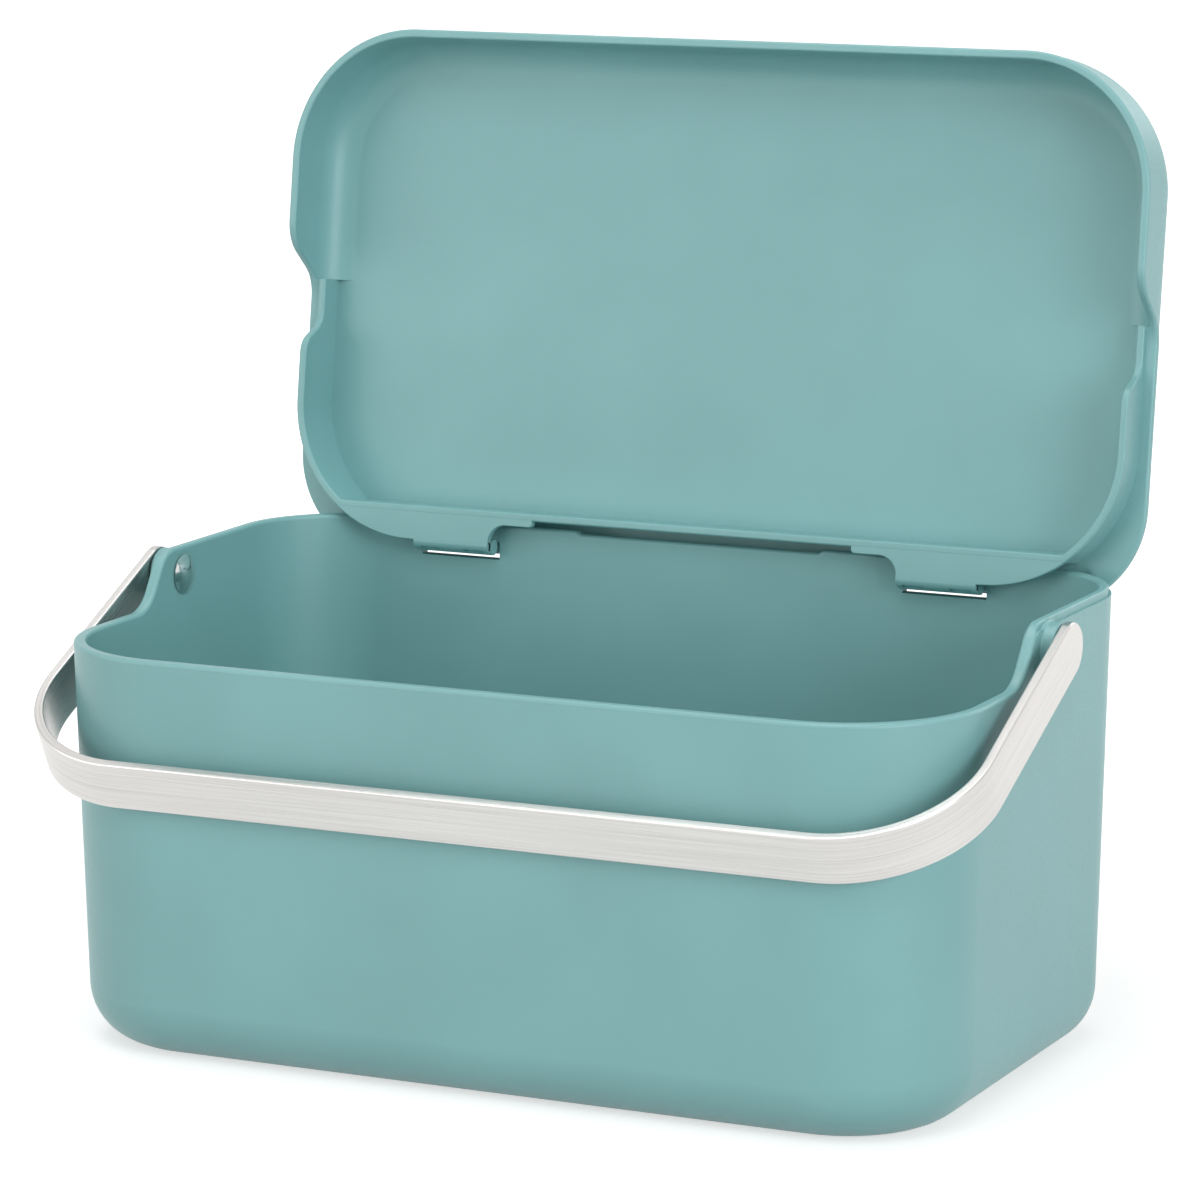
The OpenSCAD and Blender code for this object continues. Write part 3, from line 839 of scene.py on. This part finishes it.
# %% Satin moulded plastic
def satin_plastic(name, colour):
    mat, nodes, links, skin = new_material(name)
    place = nodes.new("ShaderNodeTexCoord").outputs["Object"]
    cloud = noise(nodes, links, place, 28.0, 2.0)
    speck = noise(nodes, links, place, 1500.0, 2.0)
    darker = tuple(c * 0.965 for c in colour)
    lighter = tuple(min(1.0, c * 1.035) for c in colour)
    links.new(tint(nodes, links, remap(nodes, links, cloud, 0.0, 1.0), darker, lighter),
              skin.inputs["Base Color"])
    links.new(remap(nodes, links, speck, 0.34, 0.46), skin.inputs["Roughness"])
    grain = bump(nodes, links, speck, 0.00006, 0.35)
    flow = noise(nodes, links, place, 14.0, 1.0)
    links.new(bump(nodes, links, flow, 0.0004, 0.12, grain), skin.inputs["Normal"])
    skin.inputs["IOR"].default_value = 1.49
    skin.inputs["Specular IOR Level"].default_value = 0.5
    return mat


SAGE = (0.208, 0.425, 0.430)
plastic = satin_plastic("sage_plastic", SAGE)
for piece in (bucket, lid):
    coat(piece, plastic)

# %% Brushed strip
def brushed_steel(name):
    mat, nodes, links, skin = new_material(name)
    uv = nodes.new("ShaderNodeUVMap")
    uv.uv_map = "along_strip"
    stretch = nodes.new("ShaderNodeMapping")
    stretch.inputs["Scale"].default_value = (18.0, 5200.0, 1.0)
    links.new(uv.outputs["UV"], stretch.inputs["Vector"])
    lines = noise(nodes, links, stretch.outputs["Vector"], 1.0, 4.0, 0.65)
    wide = nodes.new("ShaderNodeMapping")
    wide.inputs["Scale"].default_value = (12.0, 1500.0, 1.0)
    links.new(uv.outputs["UV"], wide.inputs["Vector"])
    bands = noise(nodes, links, wide.outputs["Vector"], 1.0, 3.0)
    mixed = nodes.new("ShaderNodeMath")
    mixed.operation = "MULTIPLY_ADD"
    links.new(remap(nodes, links, lines, 0.0, 0.6), mixed.inputs[0])
    mixed.inputs[1].default_value = 1.0
    links.new(remap(nodes, links, bands, 0.0, 0.4), mixed.inputs[2])
    links.new(tint(nodes, links, mixed.outputs[0], (0.50, 0.484, 0.468), (0.74, 0.722, 0.704)),
              skin.inputs["Base Color"])
    links.new(remap(nodes, links, lines, 0.24, 0.38), skin.inputs["Roughness"])
    links.new(bump(nodes, links, lines, 0.00003, 0.8), skin.inputs["Normal"])
    skin.inputs["Metallic"].default_value = 1.0
    skin.inputs["Anisotropic"].default_value = 0.5
    skin.inputs["Anisotropic Rotation"].default_value = 0.25
    tangent = nodes.new("ShaderNodeTangent")
    tangent.direction_type = "UV_MAP"
    tangent.uv_map = "along_strip"
    links.new(tangent.outputs["Tangent"], skin.inputs["Tangent"])
    return mat


steel = brushed_steel("brushed_strip")
coat(strip, steel)

# %% Polished caps and turned studs
def plain_steel(name, colour, rough_low, rough_high, scale):
    mat, nodes, links, skin = new_material(name)
    place = nodes.new("ShaderNodeTexCoord").outputs["Object"]
    marks = noise(nodes, links, place, scale, 3.0)
    worn = tuple(c * 0.9 for c in colour)
    links.new(tint(nodes, links, remap(nodes, links, marks, 0.0, 1.0), worn, colour),
              skin.inputs["Base Color"])
    links.new(remap(nodes, links, marks, rough_low, rough_high), skin.inputs["Roughness"])
    links.new(bump(nodes, links, marks, 0.00001, 0.3), skin.inputs["Normal"])
    skin.inputs["Metallic"].default_value = 1.0
    return mat


polished = plain_steel("polished_cap", (0.80, 0.80, 0.80), 0.08, 0.16, 900.0)
turned = plain_steel("turned_stud", (0.66, 0.65, 0.64), 0.22, 0.34, 1600.0)
for side in ("left", "right"):
    coat(bpy.data.objects["%s_cap" % side], polished)
    coat(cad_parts["%s_pivot_stud" % side], turned)
print("materials:", [m.name for m in bpy.data.materials])

# %% [markdown]
# ## The white studio
#
# Product photographs like this are lit by large soft sources close by, over a white sweep. The floor
# is one wide sheet: it keeps the soft shadow under the caddy, and it is lifted to white only for
# what the camera sees directly, in reflections and through things. The soft light that the floor
# sends back to the object stays that of a real one.

# %% Floor and surroundings
def white_for_camera(nodes, links):
    """1 for camera rays and for mirrored or transmitted ones, else 0."""
    path = nodes.new("ShaderNodeLightPath")
    first = nodes.new("ShaderNodeMath")
    first.operation = "MAXIMUM"
    links.new(path.outputs["Is Camera Ray"], first.inputs[0])
    links.new(path.outputs["Is Glossy Ray"], first.inputs[1])
    second = nodes.new("ShaderNodeMath")
    second.operation = "MAXIMUM"
    links.new(first.outputs[0], second.inputs[0])
    links.new(path.outputs["Is Transmission Ray"], second.inputs[1])
    return second.outputs[0]


floor = make_mesh("studio_floor", [(-6, -6, 0), (6, -6, 0), (6, 6, 0), (-6, 6, 0)], [(0, 1, 2, 3)])
mat, nodes, links, skin = new_material("white_sweep")
nodes.remove(skin)
paper = nodes.new("ShaderNodeBsdfDiffuse")
paper.inputs["Color"].default_value = (0.60, 0.60, 0.60, 1.0)
lift = nodes.new("ShaderNodeEmission")
spread = nodes.new("ShaderNodeVectorMath")
spread.operation = "LENGTH"
links.new(nodes.new("ShaderNodeTexCoord").outputs["Object"], spread.inputs[0])
wash = remap(nodes, links, spread.outputs["Value"], 0.60, 1.0, 0.16, 1.0)
glow = nodes.new("ShaderNodeMath")
glow.operation = "MULTIPLY"
links.new(wash, glow.inputs[0])
links.new(white_for_camera(nodes, links), glow.inputs[1])
links.new(glow.outputs[0], lift.inputs["Strength"])
both = nodes.new("ShaderNodeAddShader")
links.new(paper.outputs[0], both.inputs[0])
links.new(lift.outputs[0], both.inputs[1])
links.new(both.outputs[0], nodes["Material Output"].inputs["Surface"])
floor.data.materials.append(mat)

world = bpy.data.worlds.new("white_room")
bpy.context.scene.world = world
world.use_nodes = True
nodes, links = world.node_tree.nodes, world.node_tree.links
sky = nodes["Background"]
sky.inputs["Color"].default_value = (1.0, 1.0, 1.0, 1.0)
links.new(remap(nodes, links, white_for_camera(nodes, links), 0.26, 1.0, 0.0, 1.0), sky.inputs["Strength"])

# %% Soft lamps
def softbox(name, place, aim, size, power, colour=(1.0, 1.0, 1.0)):
    light = bpy.data.lights.new(name, "AREA")
    light.shape = "RECTANGLE"
    light.size, light.size_y = size
    light.energy = power
    light.color = colour
    obj = bpy.data.objects.new(name, light)
    bpy.context.scene.collection.objects.link(obj)
    obj.location = place
    obj.rotation_euler = (Vector(aim) - Vector(place)).to_track_quat("-Z", "Y").to_euler()
    return obj


softbox("key_softbox", (0.3, -1.1, 1.5), (0.0, 0.0, 0.08), (1.2, 0.9), 8.0)
softbox("top_softbox", (-0.2, 0.0, 1.5), (0.0, 0.0, 0.08), (0.9, 0.9), 8.0)
softbox("fill_softbox", (-1.1, -1.2, 0.40), (0.0, 0.0, 0.08), (1.8, 0.8), 9.0, (1.0, 0.985, 0.965))
softbox("side_softbox", (1.4, -0.7, 0.45), (0.0, 0.0, 0.08), (1.0, 0.8), 12.0, (0.97, 0.99, 1.0))
softbox("back_softbox", (0.6, 1.6, 0.9), (0.0, 0.0, 0.10), (1.2, 0.9), 5.0)
bpy.context.scene.view_settings.view_transform = "Standard"
